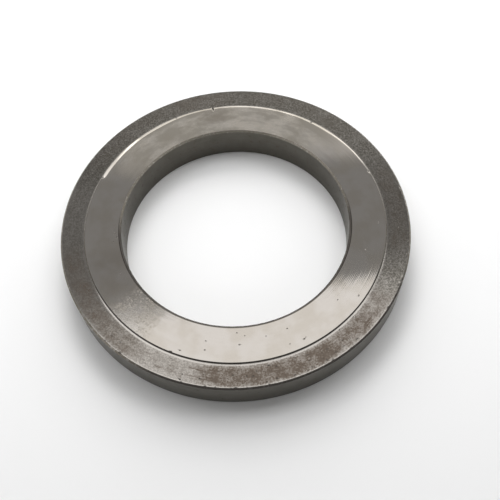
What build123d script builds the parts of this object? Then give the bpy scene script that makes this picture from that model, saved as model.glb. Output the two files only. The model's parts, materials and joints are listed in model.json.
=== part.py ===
"""Raised-face flange ring: one steel ring turned all over, with a plain bore for DN 100 pipe.

Millimetres, +Z up along the bore axis. The origin is the centre of the back face, on which
the ring lies with its raised face up.
"""

import os

from build123d import *

# Driving dimensions
outer_diameter = 175.0
face_diameter = 151.0
bore_diameter = 114.3
total_height = 18.4
face_step = 1.0

# Edge breaks
rim_break = 0.8
bore_break = 0.9
face_break = 0.35
back_break = 0.5
step_fillet = 0.3

# Worked out from the driving dimensions
outer_radius = outer_diameter / 2
face_radius = face_diameter / 2
bore_radius = bore_diameter / 2
rim_height = total_height - face_step

FROM_CORNER = (Align.MIN, Align.MIN)


def corner(section, radius, height):
    """The section's corner at this radius and height."""
    return section.vertices().sort_by_distance((radius, height))[0]


# The whole ring is one section turned about the bore axis: a rim band, the raised face that
# stands a little above it, and a broken edge at each corner.
with BuildPart() as flange_ring:
    with BuildSketch(Plane.XZ) as section:
        with Locations((bore_radius, 0)):
            Rectangle(outer_radius - bore_radius, rim_height, align=FROM_CORNER)
        with Locations((bore_radius, rim_height)):
            Rectangle(face_radius - bore_radius, face_step, align=FROM_CORNER)
        chamfer(corner(section, outer_radius, rim_height), length=rim_break)
        chamfer(corner(section, bore_radius, total_height), length=bore_break)
        chamfer(corner(section, face_radius, total_height), length=face_break)
        fillet(corner(section, face_radius, rim_height), radius=step_fillet)
        chamfer(corner(section, outer_radius, 0), length=back_break)
        chamfer(corner(section, bore_radius, 0), length=back_break)
    revolve(axis=Axis.Z)

flange_ring.part.label = "flange_ring"

os.makedirs("parts", exist_ok=True)
export_step(flange_ring.part, "parts/flange_ring.step")
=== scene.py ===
"""Turned steel flange ring with a raised face: its visual mesh, its finishes and a small studio.

Metres, +Z up along the bore axis, with the ring lying on its back face at Z = 0. Azimuths are in
degrees from +X towards +Y, so 270 is the front. Laid out as an add-on with one operator for the
ring and one for the stage, and run as a script.
"""

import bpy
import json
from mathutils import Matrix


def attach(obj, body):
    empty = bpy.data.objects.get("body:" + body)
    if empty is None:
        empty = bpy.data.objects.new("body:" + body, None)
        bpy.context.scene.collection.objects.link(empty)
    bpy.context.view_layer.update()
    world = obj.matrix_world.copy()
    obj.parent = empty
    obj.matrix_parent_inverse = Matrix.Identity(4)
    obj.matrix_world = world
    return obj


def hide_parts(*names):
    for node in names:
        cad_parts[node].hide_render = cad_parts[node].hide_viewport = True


bl_info = {
    "name": "Flange Ring",
    "version": (1, 0, 0),
    "blender": (4, 5, 0),
    "location": "View3D > Sidebar > Flange Ring",
    "description": "A turned steel flange ring with a raised face, its finishes and a small studio",
    "category": "Object",
}

import json
import math
import random
from typing import NamedTuple

import bmesh
import bpy
from bpy.props import FloatProperty, FloatVectorProperty, IntProperty, PointerProperty
from mathutils import Matrix, Vector, noise
from mathutils.kdtree import KDTree

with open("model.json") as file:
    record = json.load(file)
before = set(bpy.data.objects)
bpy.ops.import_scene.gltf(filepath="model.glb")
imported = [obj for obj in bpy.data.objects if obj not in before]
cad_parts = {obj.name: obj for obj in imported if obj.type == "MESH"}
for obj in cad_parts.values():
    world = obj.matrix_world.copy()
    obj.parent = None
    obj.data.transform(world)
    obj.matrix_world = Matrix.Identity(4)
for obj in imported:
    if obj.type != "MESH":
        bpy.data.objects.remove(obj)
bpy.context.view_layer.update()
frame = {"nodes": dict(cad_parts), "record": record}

MOUNTS = {mount["name"]: mount for mount in frame["record"]["mounts"]}
MM = 0.001
TURN = math.tau

# Azimuths of the ring's sides, as the camera sees them
BACK = 90.0
LEFT = 180.0
FRONT = 270.0

# The ring's own sizes, from the frame
BORE_RADIUS = MOUNTS["pipe_bore"]["dims"]["r_mm"] * MM
OUTER_RADIUS = MOUNTS["outside_register"]["dims"]["r_mm"] * MM
FACE_HEIGHT = MOUNTS["gasket_face"]["pos_m"][2]
RIM_HEIGHT = MOUNTS["clamp_band"]["pos_m"][2]


def step_radius():
    """The radius of the raised face's wall, as the furthest CAD point above the rim band."""
    above_rim = 0.5 * (RIM_HEIGHT + FACE_HEIGHT)
    node = frame["nodes"]["flange_ring"]
    return max(math.hypot(v.co.x, v.co.y) for v in node.data.vertices if v.co.z > above_rim)


FACE_RADIUS = step_radius()

SURFACES = (
    "raised_face", "rim_band", "outer_wall", "bore_wall", "back_face", "step_edge", "rim_edge",
    "bore_edge",
)

# Mesh making
SECTORS = 8  # the ring is spun as one sector, which is then repeated
NEAR = 0.01 * MM
MERGE_DISTANCE = 0.001 * MM
SHARP_ANGLE = math.radians(25.0)
GROOVE_UNEVENNESS = 0.9
REFINE_REACH = 1.1  # how far past a dent's middle its finer mesh goes, in dent sizes
COARSE_STEP = 0.6 * MM  # about the mesh's own spacing, added to that
REFINE_CUTS = 3
MOSTLY_FLAT = 0.9  # a face is level when this much of its normal is vertical
MOSTLY_UPRIGHT = 0.1  # and upright when no more than this is
EDGE_CURVE = 0.6  # how much of the rubbed facet's fall comes late, near the edge

# Wear: where it gathers, how widely it spreads, how the metal gives and how deep it goes
WEAR_AZIMUTH = 285.0
WEAR_SPREAD = 35.0
CHIP_AZIMUTH = 290.0
CHIP_SPREAD = 55.0
CHIP_PRESS = (-0.6, -0.8)
SINK = (0.0, -1.0)  # straight down
FACE_PIT_DEPTH = 0.06 * MM
RIM_PIT_DEPTH = 0.14 * MM
SCATTERED_PIT_DEPTH = 0.10 * MM
SCRATCH_AZIMUTH = 182.0
SCRATCH_SPREAD = 1.8
SCRATCH_DEPTH = 0.012 * MM
NICK_HALF_LENGTH = 0.75 * MM
NICK_INSET = 0.2 * MM

# Where the raised face's outer edge is rubbed to a facet: azimuth, and how much of its full size
RUBBED_EDGE = (
    (8.0, 0.0), (26.0, 0.4), (44.0, 0.8), (60.0, 0.6), (105.0, 0.6), (120.0, 0.95), (152.5, 1.0),
    (153.5, 0.0), (368.0, 0.0),
)

# The knocks on the raised face's outer edge: azimuth, and length across the edge in millimetres
FACE_NICKS = ((18.0, 0.8), (52.0, 1.3), (95.0, 3.4), (111.0, 0.9), (153.0, 1.0), (243.0, 0.7))


# Properties


def length(name, description, millimetres):
    return FloatProperty(
        name=name, description=description, default=millimetres * MM, subtype="DISTANCE",
        unit="LENGTH", precision=5,
    )


def tint(name, description, colour):
    return FloatVectorProperty(
        name=name, description=description, subtype="COLOR", default=colour, min=0.0, max=1.0
    )


class RingSizes(bpy.types.PropertyGroup):
    segments: IntProperty(
        name="Segments", description="Straight pieces round the ring", default=512, min=96
    )
    rim_break: length("Rim break", "Bevel of the rim band's outer edge", 0.8)
    bore_break: length("Bore break", "Bevel where the raised face meets the bore", 0.9)
    face_break: length("Face break", "Bevel of the raised face's outer edge", 0.35)
    step_fillet: length("Step fillet", "Radius at the foot of the raised face", 0.3)
    back_break: length("Back break", "Bevel of the back face's two edges", 0.5)
    rub_width: length("Rub width", "Breadth of the facet rubbed on the raised face's edge", 2.3)
    rub_drop: length("Rub drop", "Fall of the rubbed facet at the edge", 0.44)
    face_pitch: length("Face groove pitch", "Feed of the tool across the raised face", 0.75)
    face_depth: length("Face groove depth", "Depth of the raised face's grooves", 0.005)
    rim_pitch: length("Rim groove pitch", "Feed of the tool across the rim band", 1.1)
    rim_depth: length("Rim groove depth", "Depth of the rim band's grooves", 0.012)
    wall_pitch: length("Wall groove pitch", "Feed of the tool along the walls and back", 2.4)
    wall_depth: length("Wall groove depth", "Depth of the grooves on walls and back", 0.012)
    nick_depth: length("Nick depth", "Depth of the knocks on the raised face's edge", 0.5)
    rim_chips: IntProperty(
        name="Rim chips", description="Small chips along the rim's outer edge", default=34, min=0
    )
    face_pits: IntProperty(
        name="Face pits", description="Corrosion pits in the raised face", default=16, min=0
    )
    scratches: IntProperty(
        name="Scratches", description="Small scratches in the cluster by the bore", default=9, min=0
    )
    rim_pits: IntProperty(
        name="Rim pits", description="Corrosion pits in the front of the rim band", default=34,
        min=0,
    )
    seed: IntProperty(name="Seed", description="Which set of chips and pits", default=7)


class SteelColours(bpy.types.PropertyGroup):
    clean: tint("Clean steel", "Fresh-cut steel", (0.320, 0.301, 0.280))
    beige: tint("Beige film", "Thin warm film on the raised face", (0.285, 0.262, 0.232))
    worn: tint("Worn steel", "Pale smears where the film is rubbed away", (0.40, 0.368, 0.320))
    olive: tint("Olive film", "The darker film on the rim band", (0.068, 0.064, 0.053))
    dull: tint("Dull steel", "Steel with a thin oxide film", (0.205, 0.186, 0.152))
    wall: tint("Wall steel", "The darker film on the upright walls", (0.188, 0.177, 0.153))
    stain: tint("Stain", "Brown stain on the rim band", (0.088, 0.069, 0.054))
    # The colour of dirt in pits and nicks, and also of the painted shade on the broken edges' front
    # and along the bore's front edge
    grime_and_shade: tint("Grime", "What has settled in pits, nicks and corners", (0.030, 0.024, 0.018))


class StudioSettings(bpy.types.PropertyGroup):
    floor: tint("Floor", "Colour of the floor", (0.88, 0.88, 0.88))
    ambient: FloatProperty(
        name="Ambient", description="Brightness of the unlit room", default=0.09, min=0.0
    )
    backdrop: tint("Backdrop", "What shows past the floor's far edge", (0.86, 0.86, 0.86))


# Materials

ROUND_THE_AXIS = 0.25  # a quarter turn of the shader's tangent, so the brushing goes round the ring

# Heights of the turning lines and the grain that are only in the shading
FINE_LINES = 0.004 * MM
FACE_LINES = 0.003 * MM
FACE_GRAIN = 0.012 * MM
RIM_GRAIN = 0.012 * MM
WALL_GRAIN = 0.02 * MM
EDGE_GRAIN = 0.03 * MM

# Marks on the raised face
SMEAR_REACH = 8.0 * MM  # outwards from the bore, past which the pale smears thin out
SMUDGE_INSET = 5.0 * MM  # inwards from the face's edge, beside the longest knock
# The dark line along the bore's front edge is painted shade, not dirt
PAINTED_BORE_SHADE_INSET = 0.9 * MM  # outwards from the bore, along its broken edge


class Value:
    """A number in a material: Python's operators on it add Math nodes."""

    def __init__(self, nodes, socket):
        self.nodes = nodes
        self.socket = socket

    def maths(self, operation, *others):
        return self.nodes.maths(operation, self, *others)

    def __add__(self, other):
        return self.maths("ADD", other)

    def __sub__(self, other):
        return self.maths("SUBTRACT", other)

    def __mul__(self, other):
        return self.maths("MULTIPLY", other)

    def __rsub__(self, other):
        return self.nodes.maths("SUBTRACT", other, self)

    __radd__ = __add__
    __rmul__ = __mul__


class Nodes:
    """A node tree, filled from expressions on Value and from node()."""

    def __init__(self, tree):
        self.tree = tree
        self.tree.nodes.clear()

    def node(self, kind, settings=None, sockets=None):
        """A node of this type. Its settings come first, then its sockets' values or links."""
        node = self.tree.nodes.new(kind)
        for name, value in (settings or {}).items():
            setattr(node, name, value)
        for key, value in (sockets or {}).items():
            self.feed(self.socket_of(node.inputs, key), value)
        return node

    @staticmethod
    def socket_of(sockets, key):
        """The socket with this place, or the first enabled one of this name."""
        if isinstance(key, int):
            return sockets[key]
        return next(socket for socket in sockets if socket.name == key and socket.enabled)

    def feed(self, socket, value):
        if isinstance(value, Value):
            value = value.socket
        if isinstance(value, bpy.types.NodeSocket):
            self.tree.links.new(value, socket)
        elif socket.type == "RGBA" and len(value) == 3:
            socket.default_value = (*value, 1.0)
        else:
            socket.default_value = value

    def maths(self, operation, *values):
        sockets = dict(enumerate(values))
        return Value(self, self.node("ShaderNodeMath", {"operation": operation}, sockets).outputs[0])

    def vector(self, operation, *values, output="Vector", **named):
        sockets = {**dict(enumerate(values)), **named}
        node = self.node("ShaderNodeVectorMath", {"operation": operation}, sockets)
        return node.outputs[output]

    def combine(self, x, y, z):
        return self.node("ShaderNodeCombineXYZ", sockets={0: x, 1: y, 2: z}).outputs[0]

    def smooth(self, value, low, high):
        """0 at low, 1 at high, smoothly between them."""
        node = self.node(
            "ShaderNodeMapRange", {"interpolation_type": "SMOOTHSTEP"},
            {"Value": value, "From Min": low, "From Max": high},
        )
        return Value(self, node.outputs["Result"])

    def noise(self, vector, scale, detail=4.0, roughness=0.55):
        node = self.node(
            "ShaderNodeTexNoise", {"noise_dimensions": "3D"},
            {"Vector": vector, "Scale": scale, "Detail": detail, "Roughness": roughness},
        )
        return Value(self, node.outputs[0])

    def mix(self, factor, a, b):
        """Colour a where factor is 0 and b where it is 1."""
        node = self.node(
            "ShaderNodeMix", {"data_type": "RGBA", "clamp_factor": True},
            {"Factor": factor, "A": a, "B": b},
        )
        return self.socket_of(node.outputs, "Result")


def new_material(name):
    material = bpy.data.materials.new(name)
    material.use_nodes = True
    return material


class Finish(Nodes):
    """One material of the ring, with the coordinates that suit turned work."""

    def __init__(self, name):
        self.material = new_material(name)
        super().__init__(self.material.node_tree)
        self.place = self.node("ShaderNodeTexCoord").outputs["Object"]
        parts = self.node("ShaderNodeSeparateXYZ", sockets={"Vector": self.place}).outputs
        self.height = Value(self, parts["Z"])
        flat = self.combine(Value(self, parts["X"]), Value(self, parts["Y"]), 0.0)
        self.radius = Value(self, self.vector("LENGTH", flat, output="Value"))
        self.outward = self.vector("NORMALIZE", flat)

    def dirt(self):
        """How deep in a dent, nick or pit the point lies, 0 to 1."""
        node = self.node("ShaderNodeAttribute", {"attribute_name": "dirt"})
        return Value(self, node.outputs["Fac"])

    def swept(self, along, across, lift=0.0):
        """Coordinates for marks that follow the turning, so many to a radian and to a metre."""
        round_ring = self.vector("SCALE", self.outward, Scale=along)
        spread = self.combine(0.0, 0.0, (self.radius + self.height) * across + lift)
        return self.vector("ADD", round_ring, spread)

    def sector(self, azimuth, half_width, soft):
        """1 within half_width of this azimuth, in degrees, and 0 past soft more."""
        aim = math.radians(azimuth)
        towards = self.vector(
            "DOT_PRODUCT", self.outward, (math.cos(aim), math.sin(aim), 0.0), output="Value"
        )
        outer = math.cos(math.radians(min(half_width + soft, 180.0)))
        inner = math.cos(math.radians(half_width))
        return self.smooth(Value(self, towards), outer, inner)

    def band(self, radius, half_width, soft):
        """1 within half_width of this radius, and 0 past soft more."""
        away = (self.radius - radius).maths("ABSOLUTE")
        return self.smooth(away, half_width + soft, half_width)

    def bump(self, height, distance, normal=None):
        sockets = {"Height": height, "Distance": distance}
        if normal is not None:
            sockets["Normal"] = normal
        return self.node("ShaderNodeBump", sockets=sockets).outputs["Normal"]

    def steel(self, colour, roughness, metallic, normal, grain):
        """The finished material. grain is how much further it scatters across the turning."""
        shader = self.node(
            "ShaderNodeBsdfPrincipled",
            sockets={
                "Base Color": colour, "Roughness": roughness, "Metallic": metallic,
                "Normal": normal, "Anisotropic": grain, "Anisotropic Rotation": ROUND_THE_AXIS,
            },
        )
        self.node("ShaderNodeOutputMaterial", sockets={"Surface": shader.outputs[0]})
        return self.material


def raised_face_finish(colours):
    """Fine turned steel: a faint beige film, pale smears at the back, and dark pits."""
    finish = Finish("raised_face_steel")
    patches = finish.noise(finish.swept(5.5, 90.0), 1.0, detail=2.5)
    film = finish.smooth(patches, 0.38, 0.66)
    streaks = finish.noise(finish.swept(9.0, 900.0, lift=3.0), 1.0, detail=3.0)
    mottle = finish.noise(finish.place, 1900.0, detail=2.0)
    back = finish.sector(BACK + 2.0, 40.0, 20.0)
    cloud = finish.noise(finish.swept(3.6, 110.0, lift=9.0), 1.0, detail=7.0, roughness=0.62)
    near_bore = BORE_RADIUS + SMEAR_REACH - finish.radius
    smears = finish.smooth(cloud + near_bore * 4.0, 0.43, 0.68)
    by_knock = finish.band(FACE_RADIUS - SMUDGE_INSET, 4.0 * MM, 4.0 * MM)
    smudge = finish.sector(BACK + 5.0, 2.0, 5.0) * by_knock
    hazy = finish.sector(LEFT + 31.0, 5.0, 12.0)
    warm = finish.sector(LEFT + 23.0, 6.0, 10.0) * patches * 0.5 + smudge * mottle
    dirt = finish.dirt()
    # A dark band painted along the bore's broken edge, at the front only: painted shade, joined in
    # dark with the real dirt of dents and pits
    painted_bore_shade = finish.band(BORE_RADIUS + PAINTED_BORE_SHADE_INSET, 0.3 * MM, 0.2 * MM)
    dark = dirt.maths("MAXIMUM", painted_bore_shade * finish.sector(FRONT, 85.0, 20.0) * 0.85)

    colour = finish.mix(film * 0.7 + streaks * 0.3, tuple(colours.clean), tuple(colours.beige))
    colour = finish.mix(back * (0.62 - smears * 0.55), colour, tuple(colours.dull))
    colour = finish.mix(back * smears * 0.5, colour, tuple(colours.worn))
    colour = finish.mix(warm * 0.4, colour, tuple(colours.stain))
    colour = finish.mix(dark, colour, tuple(colours.grime_and_shade))

    left = finish.sector(FRONT - 47.0, 4.0, 8.0)
    specks = finish.noise(finish.place, 950.0, detail=4.0, roughness=0.7)
    grains = finish.smooth(specks, 0.5, 0.6) * left
    colour = finish.mix(grains * 0.35, colour, tuple(colours.dull))
    lines = finish.noise(finish.swept(0.5, 4200.0), 1.0, detail=2.0)
    normal = finish.bump(lines, FACE_LINES)
    normal = finish.bump(mottle * (0.12 + left), FACE_GRAIN, normal)
    roughness = 0.05 + film * 0.02 + streaks * 0.02 + back * smears * 0.09
    roughness = roughness + hazy * 0.05 + grains * 0.22 + dirt * 0.5
    return finish.steel(colour, roughness, 1.0 - dirt * 0.7, normal, 0.6)


class Stain(NamedTuple):
    """A stained stretch of the rim band: where it is, how wide and how strong."""

    azimuth: float
    half_width: float
    soft: float
    strength: float


RIM_STAINS = (
    Stain(209.0, 16.0, 12.0, 0.75), Stain(276.0, 16.0, 9.0, 1.0), Stain(303.0, 5.0, 6.0, 0.65),
    Stain(317.0, 4.0, 6.0, 0.5), Stain(0.0, 10.0, 12.0, 0.35), Stain(60.0, 12.0, 16.0, 0.15),
    Stain(98.0, 6.0, 7.0, 0.3), Stain(130.0, 9.0, 16.0, 0.15),
)


def rim_band_finish(colours):
    """Coarser turning under an oxide film, with brown speckled stains and clean margins."""
    finish = Finish("rim_band_steel")
    cloud = finish.noise(finish.swept(15.0, 230.0), 1.0, detail=4.0, roughness=0.6)
    speckle = finish.noise(finish.place, 1250.0, detail=4.0, roughness=0.75)
    grain = finish.noise(finish.swept(34.0, 900.0), 1.0, detail=3.0)
    threads = finish.noise(finish.swept(13.0, 1100.0, lift=4.0), 1.0, detail=4.0)
    drawn = finish.smooth(threads, 0.56, 0.68)
    dirt = finish.dirt()
    front = finish.sector(FRONT + 8.0, 42.0, 10.0)
    stained = 0.12 + front * 0.22
    for stain in RIM_STAINS:
        patch = finish.sector(stain.azimuth, stain.half_width, stain.soft)
        stained = stained + patch * stain.strength
    middle = finish.band(0.5 * (FACE_RADIUS + OUTER_RADIUS), 2.6 * MM, 2.4 * MM)
    spots = finish.smooth(speckle * 0.9 + cloud * 0.4, 0.54, 0.80)
    brown = stained * (spots * 0.48 + middle * cloud * 0.68 + 0.12)
    brown = brown + drawn * middle * front * 0.55

    step_margin = finish.band(FACE_RADIUS, 0.8 * MM, 0.5 * MM)
    edge_margin = finish.band(OUTER_RADIUS, 1.0 * MM, 0.5 * MM)
    handled = finish.sector(FRONT - 6.0, 50.0, 14.0)
    margins = step_margin.maths("MAXIMUM", edge_margin * 0.7) * (0.2 + handled * 0.8)
    back = finish.sector(BACK, 50.0, 30.0)
    fine = finish.smooth(speckle, 0.36, 0.64)
    left = finish.sector(LEFT + 16.0, 28.0, 16.0)
    film = cloud * 0.45 + grain * 0.35 + fine * 0.5 + back * 0.12
    film = film * (1.0 - front * 0.4 - left * 0.22)

    colour = finish.mix(film * (1.0 - margins), tuple(colours.clean), tuple(colours.olive))
    colour = finish.mix(brown * (1.0 - margins * 0.9), colour, tuple(colours.stain))
    colour = finish.mix(dirt, colour, tuple(colours.grime_and_shade))
    lines = finish.noise(finish.swept(0.6, 3000.0), 1.0, detail=3.0)
    normal = finish.bump(lines, FINE_LINES)
    normal = finish.bump(speckle, RIM_GRAIN, normal)
    roughness = 0.12 + film * 0.05 + brown * 0.14 + dirt * 0.3 - margins * 0.05
    return finish.steel(colour, roughness, 1.0 - brown * 0.2 - dirt * 0.6, normal, 0.5)


def wall_finish(name, colours, spots, shade=0.0):
    """Upright walls and the back: turned steel under a dark film, with a few brown spots."""
    finish = Finish(name)
    cloud = finish.noise(finish.swept(9.0, 120.0), 1.0, detail=5.0)
    streaks = finish.noise(finish.swept(3.0, 1600.0), 1.0, detail=3.0)
    speckle = finish.noise(finish.place, 420.0, detail=5.0, roughness=0.7)
    brown = finish.smooth(speckle, 0.56, 0.70) * spots
    # shade darkens the film evenly; on the bore wall it is painted shade inside the bore
    film = cloud * 0.4 + streaks * 0.3 + shade
    colour = finish.mix(film, tuple(colours.wall), tuple(colours.olive))
    colour = finish.mix(brown, colour, tuple(colours.stain))
    colour = finish.mix(finish.dirt(), colour, tuple(colours.grime_and_shade))
    lines = finish.noise(finish.swept(0.5, 2400.0), 1.0, detail=3.0)
    normal = finish.bump(lines, FINE_LINES)
    normal = finish.bump(speckle, WALL_GRAIN, normal)
    roughness = 0.30 + cloud * 0.12 + brown * 0.25
    return finish.steel(colour, roughness, 1.0 - brown * 0.5, normal, 0.5)


def edge_finish(name, colours, worn, shaded_side, shaded_reach):
    """Broken edges: a little dirt all round, with painted shade on the side given; bright where
    handling has worn them.
    """
    finish = Finish(name)
    wear = finish.noise(finish.swept(22.0, 900.0), 2.0, detail=4.0)
    bright = finish.smooth(wear, 0.62 - worn * 0.3, 0.74 - worn * 0.3)
    # Painted shade on the given side, always the front, over a little real dirt everywhere; it also
    # dulls the metal there
    front_shade_and_grime = finish.sector(shaded_side, shaded_reach, 20.0) * 0.8 + 0.2
    bright = bright * (1.0 - front_shade_and_grime * 0.9)
    colour = finish.mix(front_shade_and_grime, tuple(colours.dull), tuple(colours.grime_and_shade))
    colour = finish.mix(bright, colour, tuple(colours.clean))
    colour = finish.mix(finish.dirt(), colour, tuple(colours.grime_and_shade))
    normal = finish.bump(wear, EDGE_GRAIN)
    roughness = 0.36 - bright * 0.12 + front_shade_and_grime * 0.3
    return finish.steel(colour, roughness, 1.0 - front_shade_and_grime * 0.9, normal, 0.3)


# Mesh


class Dent(NamedTuple):
    """A small bowl in the ring's surface.

    length is its half length round the ring, breadth its half width across, press the
    (outwards, upwards) way in which the metal gives, and dirt how dark it has become.
    """

    azimuth: float
    radius: float
    height: float
    length: float
    breadth: float
    depth: float
    press: tuple
    dirt: float

    def outward(self):
        aim = math.radians(self.azimuth)
        return Vector((math.cos(aim), math.sin(aim), 0.0))

    def spot(self):
        return self.outward() * self.radius + Vector((0.0, 0.0, self.height))

    def reach(self):
        return max(self.length, self.breadth)


def bevel_corner(mesh, radius, height, width, segments=1):
    """Breaks the section's corner nearest to this radius and height."""
    spot = Vector((radius, 0.0, height))
    corner = min(mesh.verts, key=lambda vert: (vert.co - spot).length)
    bmesh.ops.bevel(
        mesh, geom=[corner], offset=width, offset_type="OFFSET", segments=segments, profile=0.5,
        affect="VERTICES", material=-1,
    )


def longest_edge(mesh, test):
    """The section's longest edge whose two ends pass the test."""
    edges = [edge for edge in mesh.edges if all(test(vert.co) for vert in edge.verts)]
    return max(edges, key=lambda edge: edge.calc_length())


def vertices_of(geometry):
    return [item for item in geometry if isinstance(item, bmesh.types.BMVert)]


def cut_grooves(mesh, test, pitch, depth, inward, steps=2):
    """Cuts a straight edge of the section into turned grooves, `steps` points to each."""
    edge = longest_edge(mesh, test)
    start, end = edge.verts[0].co.copy(), edge.verts[1].co.copy()
    grooves = max(1, round((end - start).length / pitch))
    made = bmesh.ops.subdivide_edges(mesh, edges=[edge], cuts=grooves * steps - 1)
    for vert in vertices_of(made["geom_inner"]):
        count = grooves * (vert.co - start).length / (end - start).length
        wave = 0.5 - 0.5 * math.cos(TURN * count)
        uneven = 1.0 + GROOVE_UNEVENNESS * noise.noise(Vector((math.floor(count) * 7.3, pitch, 0.5)))
        vert.co += inward * (depth * wave * uneven)


def rubbed(azimuth):
    """How much of the rubbed facet there is at this azimuth, from RUBBED_EDGE."""
    azimuth = RUBBED_EDGE[0][0] + (azimuth - RUBBED_EDGE[0][0]) % 360.0
    for (start, first), (end, last) in zip(RUBBED_EDGE, RUBBED_EDGE[1:]):
        if azimuth <= end:
            return first + (last - first) * (azimuth - start) / (end - start)
    return 0.0


def rub_face_edge(mesh, sizes):
    """Rubs a shallow facet, steeper towards the edge, along the back of the raised face."""
    above_rim = 0.5 * (RIM_HEIGHT + FACE_HEIGHT)
    for vert in mesh.verts:
        if vert.co.z > above_rim:
            amount = rubbed(math.degrees(math.atan2(vert.co.y, vert.co.x)))
            breadth = amount * sizes.rub_width
            outside = math.hypot(vert.co.x, vert.co.y) - (FACE_RADIUS - breadth)
            if breadth > 0.0 and outside > 0.0:
                past = outside / breadth
                fall = past * (1.0 - EDGE_CURVE + EDGE_CURVE * past)
                vert.co.z -= sizes.rub_drop * amount * fall


def ring_section(sizes):
    """A bmesh of the ring's closed section in the XZ plane, as a chain of edges."""
    mesh = bmesh.new()
    corners = (
        (BORE_RADIUS, 0.0), (OUTER_RADIUS, 0.0), (OUTER_RADIUS, RIM_HEIGHT),
        (FACE_RADIUS, RIM_HEIGHT), (FACE_RADIUS, FACE_HEIGHT), (BORE_RADIUS, FACE_HEIGHT),
    )
    mesh.faces.new([mesh.verts.new((radius, 0.0, height)) for radius, height in corners])
    bevel_corner(mesh, BORE_RADIUS, 0.0, sizes.back_break)
    bevel_corner(mesh, OUTER_RADIUS, 0.0, sizes.back_break)
    bevel_corner(mesh, OUTER_RADIUS, RIM_HEIGHT, sizes.rim_break)
    bevel_corner(mesh, FACE_RADIUS, RIM_HEIGHT, sizes.step_fillet, segments=3)
    bevel_corner(mesh, FACE_RADIUS, FACE_HEIGHT, sizes.face_break)
    bevel_corner(mesh, BORE_RADIUS, FACE_HEIGHT, sizes.bore_break)
    bmesh.ops.delete(mesh, geom=mesh.faces[:], context="FACES_ONLY")
    return mesh


def at_height(height):
    return lambda place: abs(place.z - height) < NEAR


def at_radius(radius):
    return lambda place: abs(place.x - radius) < NEAR


def turn_section(mesh, sizes):
    """Cuts the turning marks of each surface into the section."""
    up, out = Vector((0.0, 0.0, 1.0)), Vector((1.0, 0.0, 0.0))
    cut_grooves(mesh, at_height(FACE_HEIGHT), sizes.face_pitch, sizes.face_depth, -up, steps=3)
    cut_grooves(mesh, at_height(RIM_HEIGHT), sizes.rim_pitch, sizes.rim_depth, -up)
    cut_grooves(mesh, at_radius(OUTER_RADIUS), sizes.wall_pitch, sizes.wall_depth, -out)
    cut_grooves(mesh, at_radius(BORE_RADIUS), sizes.wall_pitch, sizes.wall_depth, out)
    cut_grooves(mesh, at_height(0.0), sizes.wall_pitch, sizes.wall_depth, up)


def spin_ring(mesh, segments):
    """Turns the section through one sector, then repeats the sector round the ring."""
    sector = TURN / SECTORS
    bmesh.ops.spin(
        mesh, geom=mesh.verts[:] + mesh.edges[:], cent=(0.0, 0.0, 0.0), axis=(0.0, 0.0, 1.0),
        angle=sector, steps=segments // SECTORS, use_merge=False, use_duplicate=False,
    )
    first = mesh.verts[:] + mesh.edges[:] + mesh.faces[:]
    for place in range(1, SECTORS):
        copy = bmesh.ops.duplicate(mesh, geom=first)["geom"]
        bmesh.ops.rotate(
            mesh, cent=(0.0, 0.0, 0.0), matrix=Matrix.Rotation(place * sector, 3, "Z"),
            verts=vertices_of(copy),
        )
    bmesh.ops.remove_doubles(mesh, verts=mesh.verts[:], dist=MERGE_DISTANCE)
    bmesh.ops.recalc_face_normals(mesh, faces=mesh.faces[:])


def surface_of(face):
    """Which of SURFACES a face of the unworn ring belongs to."""
    centre = face.calc_center_median()
    radius = math.hypot(centre.x, centre.y)
    flat = abs(face.normal.z)
    if flat > MOSTLY_FLAT:
        if centre.z < 0.5 * FACE_HEIGHT:
            return "back_face"
        return "raised_face" if radius < FACE_RADIUS else "rim_band"
    if flat < MOSTLY_UPRIGHT and centre.z < RIM_HEIGHT:
        return "bore_wall" if radius < 0.5 * (BORE_RADIUS + OUTER_RADIUS) else "outer_wall"
    if radius < 0.5 * (BORE_RADIUS + FACE_RADIUS):
        return "bore_edge"
    return "step_edge" if radius < 0.5 * (FACE_RADIUS + OUTER_RADIUS) else "rim_edge"


def mark_surfaces(mesh):
    """Gives each face its finish, smooth over the turning and sharp at the broken edges."""
    for face in mesh.faces:
        face.smooth = True
        face.material_index = SURFACES.index(surface_of(face))
    for edge in mesh.edges:
        edge.smooth = edge.calc_face_angle(0.0) < SHARP_ANGLE


def tree_of(verts):
    tree = KDTree(len(verts))
    for index, vert in enumerate(verts):
        tree.insert(vert.co, index)
    tree.balance()
    return tree


def refine(mesh, dents):
    """Makes the mesh finer round every dent."""
    verts = mesh.verts[:]
    tree = tree_of(verts)
    edges = set()
    for dent in dents:
        found = tree.find_range(dent.spot(), REFINE_REACH * dent.reach() + COARSE_STEP)
        near = {verts[index] for _, index, _ in found}
        edges.update(
            edge for vert in near for edge in vert.link_edges if edge.other_vert(vert) in near
        )
    bmesh.ops.subdivide_edges(mesh, edges=list(edges), cuts=REFINE_CUTS, use_grid_fill=True)


def press_dents(mesh, dents):
    """Presses the dents into the mesh, and keeps their dirt as a number on each vertex."""
    dirt = mesh.verts.layers.float.new("dirt")
    refine(mesh, dents)
    verts = mesh.verts[:]
    tree = tree_of(verts)
    for dent in dents:
        out, spot = dent.outward(), dent.spot()
        along = Vector((-out.y, out.x, 0.0))
        push = out * dent.press[0] + Vector((0.0, 0.0, dent.press[1]))
        for place, index, _ in tree.find_range(spot, dent.reach()):
            round_ring = (place - spot).dot(along)
            across = (place - spot - along * round_ring).length
            distance = math.hypot(round_ring / dent.length, across / dent.breadth)
            bowl = max(0.0, 1.0 - distance * distance) ** 2
            vert = verts[index]
            vert.co += push * (dent.depth * bowl)
            vert[dirt] = max(vert[dirt], dent.dirt * min(1.0, 2.0 * bowl))


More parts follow.
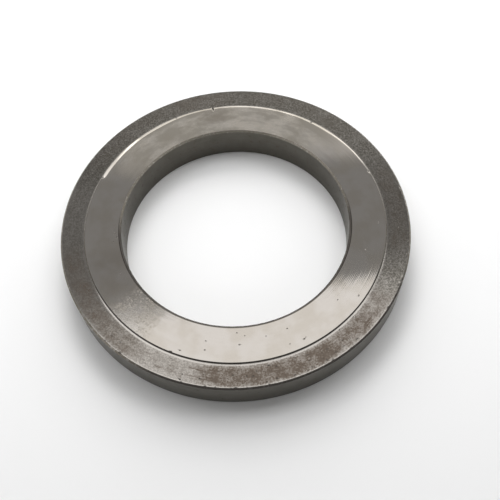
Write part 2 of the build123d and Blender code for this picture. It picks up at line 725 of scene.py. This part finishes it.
def nicks(sizes):
    """The few knocks on the raised face's outer edge."""
    return [
        Dent(
            azimuth, FACE_RADIUS - NICK_INSET, FACE_HEIGHT, NICK_HALF_LENGTH, breadth * MM,
            sizes.nick_depth, SINK, 1.0,
        )
        for azimuth, breadth in FACE_NICKS
    ]


def chips(sizes, luck):
    """Small chips along the rim band's outer edge, most of them at the front."""
    for _ in range(sizes.rim_chips):
        size = luck.uniform(0.35, 0.85) * MM
        yield Dent(
            luck.gauss(CHIP_AZIMUTH, CHIP_SPREAD),
            OUTER_RADIUS - luck.uniform(0.3, 1.0) * sizes.rim_break, RIM_HEIGHT,
            size * luck.uniform(0.8, 1.7), size, size * luck.uniform(0.15, 0.35), CHIP_PRESS, 0.65,
        )


def pits(luck, count, radii, height, azimuth, deepest):
    """Small corrosion pits in a flat surface. azimuth gives a place for each."""
    for _ in range(count):
        size = luck.uniform(0.22, 0.5) * MM
        yield Dent(
            azimuth(), luck.uniform(*radii), height, size * luck.uniform(1.0, 1.6), size,
            luck.uniform(0.3, 1.0) * deepest, SINK, luck.uniform(0.65, 0.95),
        )


def scratches(luck, count):
    """A cluster of short scratches at the left of the raised face, by the bore."""
    for _ in range(count):
        size = luck.uniform(0.25, 0.45) * MM
        yield Dent(
            luck.gauss(SCRATCH_AZIMUTH, SCRATCH_SPREAD),
            BORE_RADIUS + luck.uniform(1.6, 4.6) * MM, FACE_HEIGHT, size,
            size * luck.uniform(1.2, 2.2), SCRATCH_DEPTH, SINK, luck.uniform(0.85, 1.0),
        )


def wear_ring(mesh, sizes):
    """Nicks, chips, pits and scratches, the same ones every time."""
    luck = random.Random(sizes.seed)
    face = (BORE_RADIUS + 1.5 * MM, FACE_RADIUS - 1.0 * MM)
    band = (FACE_RADIUS + 1.0 * MM, OUTER_RADIUS - 1.2 * MM)

    def at_front():
        return luck.gauss(WEAR_AZIMUTH, WEAR_SPREAD)

    def anywhere():
        return luck.uniform(0.0, 360.0)

    dents = nicks(sizes)
    dents += chips(sizes, luck)
    dents += pits(luck, sizes.face_pits, face, FACE_HEIGHT, at_front, FACE_PIT_DEPTH)
    dents += pits(luck, sizes.rim_pits, band, RIM_HEIGHT, at_front, RIM_PIT_DEPTH)
    dents += pits(luck, sizes.rim_pits // 2, band, RIM_HEIGHT, anywhere, SCATTERED_PIT_DEPTH)
    dents += scratches(luck, sizes.scratches)
    press_dents(mesh, dents)


def ring_mesh(sizes):
    mesh = ring_section(sizes)
    turn_section(mesh, sizes)
    spin_ring(mesh, sizes.segments)
    mark_surfaces(mesh)
    rub_face_edge(mesh, sizes)
    wear_ring(mesh, sizes)
    return mesh


class FLANGE_OT_ring(bpy.types.Operator):
    """Make the turned flange ring with its finishes"""

    bl_idname = "flange.ring"
    bl_label = "Flange ring"
    bl_options = {"REGISTER", "UNDO"}

    def execute(self, context):
        colours = context.scene.steel_colours
        mesh = ring_mesh(context.scene.ring_sizes)
        data = bpy.data.meshes.new("turned_flange_ring")
        mesh.to_mesh(data)
        mesh.free()
        finishes = {
            "raised_face": raised_face_finish(colours),
            "rim_band": rim_band_finish(colours),
            "outer_wall": wall_finish("outer_wall_steel", colours, 0.5),
            # The bore wall's shade is painted shade inside the bore
            "bore_wall": wall_finish("bore_wall_steel", colours, 0.9, shade=0.22),
            "back_face": wall_finish("back_face_steel", colours, 0.8),
            # Each broken edge is painted dark towards the front: painted shade
            "step_edge": edge_finish("step_edge_steel", colours, 0.2, FRONT, 60.0),
            "rim_edge": edge_finish("rim_edge_steel", colours, 0.3, FRONT + 15.0, 40.0),
            "bore_edge": edge_finish("bore_edge_steel", colours, 0.3, FRONT, 85.0),
        }
        for surface in SURFACES:
            data.materials.append(finishes[surface])
        ring = bpy.data.objects.new("turned_flange_ring", data)
        context.scene.collection.objects.link(ring)
        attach(ring, "root")
        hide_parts("flange_ring")
        return {"FINISHED"}


# Stage

# From a least-squares camera fit made outside this script
CAMERA_PLACE = Vector((0.0, -0.1929, 0.3222))
CAMERA_TARGET = Vector((0.0065, -0.0070, 0.0))
CAMERA_ROLL = math.radians(-3.375)
CAMERA_LENS = 51.68
CAMERA_NEAR = 0.01

FLOOR_RADIUS = 1.7
FLOOR_SEGMENTS = 128


class Softbox(NamedTuple):
    """A rectangular light: its middle, where it faces, its sides, its radiance and its turn.

    lights says what it reaches: "all", the "steel" that mirrors it, or the "floor" alone.
    """

    name: str
    place: Vector
    target: Vector
    width: float
    depth: float
    radiance: float
    lights: str = "all"
    turn: float = 0.0


CEILING = 0.60  # height of the softboxes overhead
LIGHT_DISTANCE = 1.1  # and how far from the ring the others stand


def above(name, x, y, width, depth, radiance, **others):
    """A softbox under the ceiling, facing down."""
    place = Vector((x, y, CEILING))
    return Softbox(name, place, Vector((x, y, 0.0)), width, depth, radiance, **others)


def around(name, azimuth, elevation, width, depth, radiance, **others):
    """A softbox that faces the ring from this side and this height, in degrees."""
    side, rise = math.radians(azimuth), math.radians(elevation)
    way = Vector((math.cos(rise) * math.cos(side), math.cos(rise) * math.sin(side), math.sin(rise)))
    return Softbox(name, way * LIGHT_DISTANCE, Vector(), width, depth, radiance, **others)


# The radiances of overhead, ceiling, behind_overhead, high_left, high_right, low_back,
# floor_wash_back and the three floor_wash_high lights began as a least-squares fit of one-light
# renders to the tones wanted, and were then rounded or changed. The rest are set one by one.
SOFTBOXES = (
    above("overhead", 0.0, 0.127, 1.0, 0.23, 2.05, turn=5.0),
    above("overhead_front", 0.0, -0.20, 1.0, 0.42, 1.0, lights="steel", turn=5.0),
    above("ceiling", 0.0, 0.345, 1.1, 0.25, 0.45),
    above("behind_overhead", 0.0, 0.635, 0.34, 0.33, 0.95),
    above("high_left", -0.53, 0.735, 0.72, 0.53, 0.60),
    above("high_right", 0.53, 0.735, 0.72, 0.53, 1.20),
    around("low_back", 85.0, 22.0, 1.1, 0.64, 2.5),
    around("low_back_left", 124.0, 24.0, 0.46, 0.70, 2.0, lights="steel"),
    around("low_back_right", 46.0, 24.0, 0.46, 0.70, 2.3, lights="steel"),
    around("side_left", 172.0, 25.0, 1.3, 0.64, 1.0, lights="steel"),
    around("front_left", 210.0, 25.0, 0.6, 0.64, 1.2, lights="steel"),
    around("front", 268.0, 27.0, 1.6, 0.64, 0.60, lights="steel"),
    around("front_right", 328.0, 25.0, 0.6, 0.64, 1.2, lights="steel"),
    around("side_right", 4.0, 25.0, 1.1, 0.64, 1.0, lights="steel"),
    above("floor_wash_front", 0.0, -1.2, 1.8, 0.8, 0.9, lights="floor"),
    above("floor_wash_far_back", 0.0, 1.4, 1.8, 0.8, 0.9, lights="floor"),
    above("floor_wash_left", -1.2, 0.1, 0.8, 1.4, 0.9, lights="floor"),
    above("floor_wash_right", 1.2, 0.1, 0.8, 1.4, 0.9, lights="floor"),
    around("floor_wash_back", 90.0, 45.0, 0.44, 0.44, 5.0, lights="floor"),
    around("floor_wash_high", 90.0, 58.0, 0.44, 0.44, 3.2, lights="floor"),
    around("floor_wash_high_right", 30.0, 55.0, 0.44, 0.44, 1.5, lights="floor"),
    around("floor_wash_high_left", 150.0, 55.0, 0.44, 0.44, 1.1, lights="floor"),
)


def facing(place, target, turn):
    """The matrix of something at place that looks at target, turned about its own view."""
    aim = (target - place).to_track_quat("-Z", "Y").to_matrix().to_4x4()
    return Matrix.Translation(place) @ aim @ Matrix.Rotation(turn, 4, "Z")


def add_camera(context):
    data = bpy.data.cameras.new("camera")
    data.lens = CAMERA_LENS
    data.clip_start = CAMERA_NEAR
    camera = bpy.data.objects.new("camera", data)
    context.scene.collection.objects.link(camera)
    camera.matrix_world = facing(CAMERA_PLACE, CAMERA_TARGET, CAMERA_ROLL)
    context.scene.camera = camera


def add_softbox(context, box):
    data = bpy.data.lights.new(box.name, "AREA")
    data.shape = "RECTANGLE"
    data.size = box.width
    data.size_y = box.depth
    data.energy = box.radiance * math.pi * box.width * box.depth
    light = bpy.data.objects.new(box.name, data)
    context.scene.collection.objects.link(light)
    light.matrix_world = facing(box.place, box.target, math.radians(box.turn))
    light.visible_camera = False
    light.visible_glossy = box.lights != "floor"
    light.visible_diffuse = box.lights != "steel"


def add_floor(context, colour):
    mesh = bmesh.new()
    bmesh.ops.create_circle(mesh, segments=FLOOR_SEGMENTS, radius=FLOOR_RADIUS, cap_ends=True)
    data = bpy.data.meshes.new("floor")
    mesh.to_mesh(data)
    mesh.free()
    material = new_material("pale_floor")
    nodes = Nodes(material.node_tree)
    shader = nodes.node("ShaderNodeBsdfDiffuse", sockets={"Color": tuple(colour)})
    nodes.node("ShaderNodeOutputMaterial", sockets={"Surface": shader.outputs[0]})
    data.materials.append(material)
    floor = bpy.data.objects.new("floor", data)
    context.scene.collection.objects.link(floor)


def add_room(context, studio):
    """An even dim room for the light, and a pale backdrop where the camera sees past the floor."""
    world = bpy.data.worlds.new("studio")
    context.scene.world = world
    world.use_nodes = True
    nodes = Nodes(world.node_tree)
    room = nodes.node(
        "ShaderNodeBackground", sockets={"Color": (1.0, 1.0, 1.0), "Strength": studio.ambient}
    )
    backdrop = nodes.node("ShaderNodeBackground", sockets={"Color": tuple(studio.backdrop)})
    seen = nodes.node("ShaderNodeLightPath").outputs["Is Camera Ray"]
    choice = nodes.node(
        "ShaderNodeMixShader", sockets={0: seen, 1: room.outputs[0], 2: backdrop.outputs[0]}
    )
    nodes.node("ShaderNodeOutputWorld", sockets={"Surface": choice.outputs[0]})


class FLANGE_OT_stage(bpy.types.Operator):
    """Make the floor, the lights and the camera"""

    bl_idname = "flange.stage"
    bl_label = "Stage"
    bl_options = {"REGISTER", "UNDO"}

    def execute(self, context):
        studio = context.scene.studio
        add_floor(context, studio.floor)
        for box in SOFTBOXES:
            add_softbox(context, box)
        add_room(context, studio)
        context.scene.view_settings.view_transform = "Standard"
        add_camera(context)
        return {"FINISHED"}


class FLANGE_PT_panel(bpy.types.Panel):
    """Sizes, colours and the two operators"""

    bl_idname = "FLANGE_PT_panel"
    bl_label = "Flange Ring"
    bl_space_type = "VIEW_3D"
    bl_region_type = "UI"
    bl_category = "Flange Ring"

    def draw(self, context):
        for group in (context.scene.ring_sizes, context.scene.steel_colours, context.scene.studio):
            box = self.layout.box()
            for name in group.bl_rna.properties.keys():
                if name not in ("rna_type", "name"):
                    box.prop(group, name)
        self.layout.operator(FLANGE_OT_ring.bl_idname)
        self.layout.operator(FLANGE_OT_stage.bl_idname)


CLASSES = (
    RingSizes, SteelColours, StudioSettings, FLANGE_OT_ring, FLANGE_OT_stage, FLANGE_PT_panel,
)


def register():
    for cls in CLASSES:
        bpy.utils.register_class(cls)
    bpy.types.Scene.ring_sizes = PointerProperty(type=RingSizes)
    bpy.types.Scene.steel_colours = PointerProperty(type=SteelColours)
    bpy.types.Scene.studio = PointerProperty(type=StudioSettings)


def unregister():
    del bpy.types.Scene.studio
    del bpy.types.Scene.steel_colours
    del bpy.types.Scene.ring_sizes
    for cls in reversed(CLASSES):
        bpy.utils.unregister_class(cls)


def main():
    register()
    bpy.ops.flange.ring()
    bpy.ops.flange.stage()


if __name__ == "__main__":
    main()
